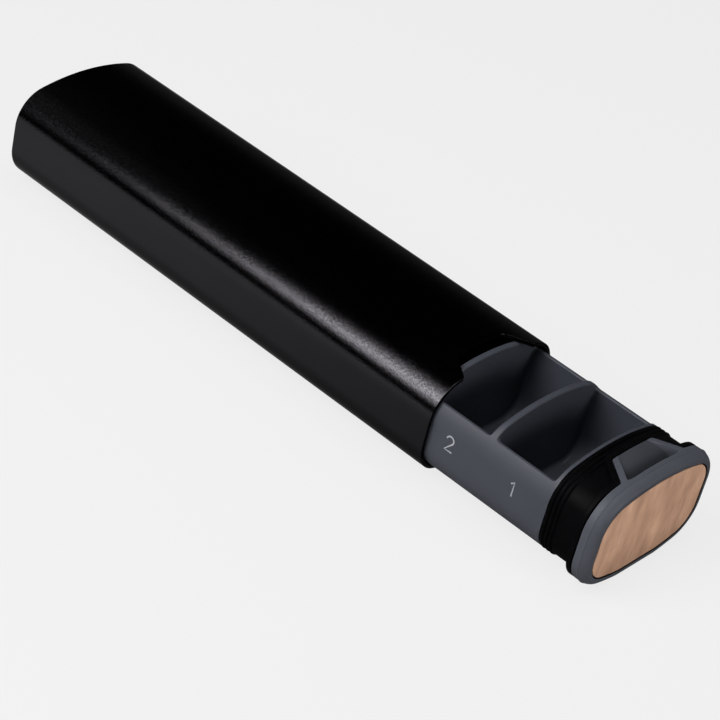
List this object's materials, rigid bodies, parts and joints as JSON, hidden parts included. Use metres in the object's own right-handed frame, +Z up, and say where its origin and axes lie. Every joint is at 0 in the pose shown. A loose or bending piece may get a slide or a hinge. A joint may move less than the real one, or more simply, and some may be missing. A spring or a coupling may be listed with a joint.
{
  "type": "pill organizer",
  "caption": "Flat crowned metal tube with a moulded pill tray that slides out of one end, sealed by a ribbed sleeve and closed by a wood-faced cap with a finger scoop.",
  "frame": {"origin": "middle of the overall length and width with the tray drawn out to the rest pose, at the height of the flat land that the tube lies on", "axes": "+X along the tube towards its open end and the cap, +Y across, +Z up out of the compartments"},
  "size_m": [0.2202, 0.05, 0.0319],
  "materials": {
    "black_anodised_metal": "satin black with a fine grain",
    "black_moulded_plastic": "matte black",
    "slate_moulded_plastic": "satin slate grey",
    "black_silicone": "soft satin black",
    "slate_cap_plastic": "satin slate grey",
    "light_walnut": "oiled, open grain",
    "clear_adhesive": "translucent sheet",
    "zinc_steel": "zinc plated"
  },
  "bodies": {
    "tube_body": {"tube": "black_anodised_metal", "rear_plug": "black_moulded_plastic"},
    "tray_body": {"tray": "slate_moulded_plastic", "seal_sleeve": "black_silicone", "front_cap": "slate_cap_plastic", "wood_inlay": "light_walnut", "inlay_adhesive": "clear_adhesive", "cap_screw_left": "zinc_steel", "cap_screw_right": "zinc_steel"}
  },
  "joints": [
    {"name": "tray_slide", "type": "slide", "parent": "tube_body", "child": "tray_body", "axis": [1, 0, 0], "range_m": [-0.0492, 0.1109]}
  ]
}
